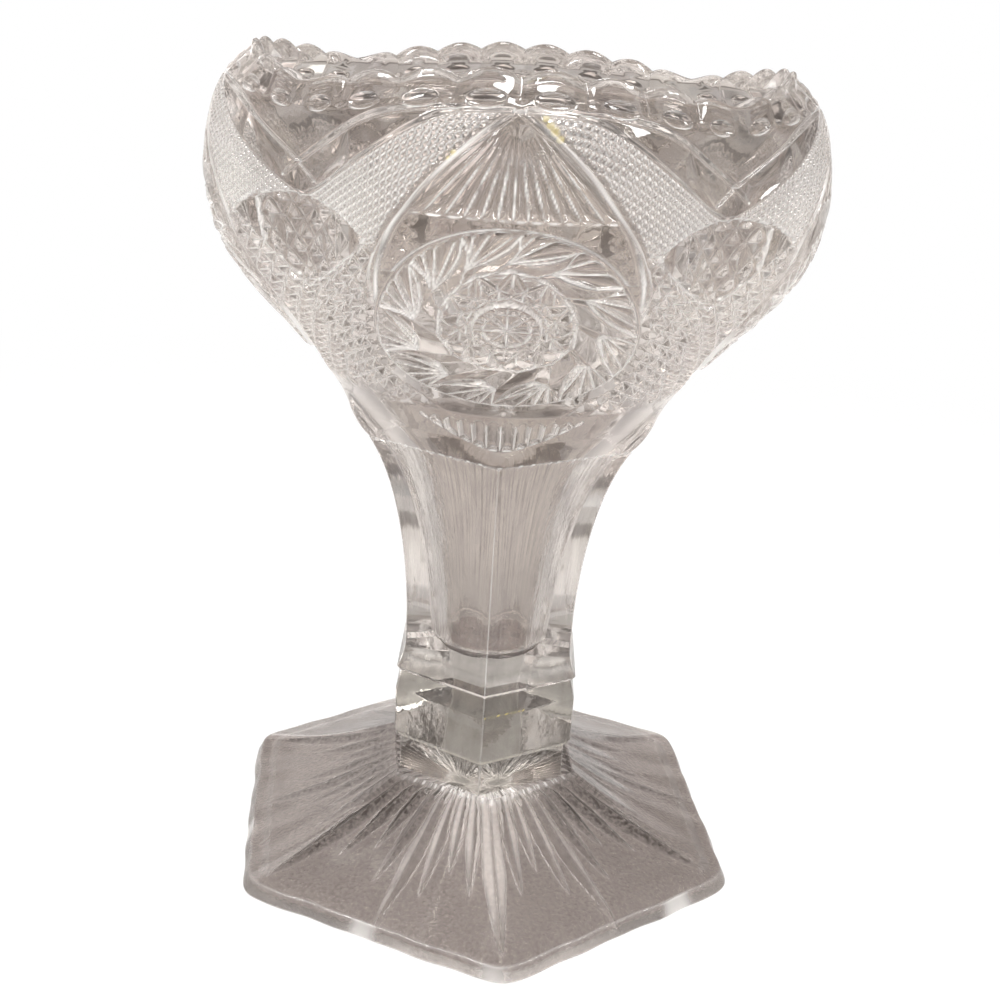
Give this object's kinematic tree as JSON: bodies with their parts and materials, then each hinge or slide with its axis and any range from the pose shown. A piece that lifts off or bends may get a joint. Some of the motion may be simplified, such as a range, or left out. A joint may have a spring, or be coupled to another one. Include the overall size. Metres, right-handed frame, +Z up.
{
  "type": "pressed glass compote",
  "caption": "Footed serving dish in clear pressed glass: lobed bowl with a scalloped rim on a hollow six-sided stem, collar and rayed six-sided foot.",
  "frame": {"origin": "on the table, under the middle of the foot", "axes": "+Z up along the stem, -Y towards the middle of one face of the bowl"},
  "size_m": [0.1288, 0.1288, 0.1782],
  "materials": {
    "bowl_glass": "clear pressed soda-lime glass with cut-style relief",
    "stem_glass": "clear pressed soda-lime glass, fire polished, with faint press lines",
    "foot_glass": "clear pressed soda-lime glass, finely stippled, with rays pressed into the underside"
  },
  "bodies": {
    "root": {"bowl": "bowl_glass", "stem": "stem_glass", "collar": "stem_glass", "neck": "stem_glass", "foot": "foot_glass"}
  },
  "joints": []
}
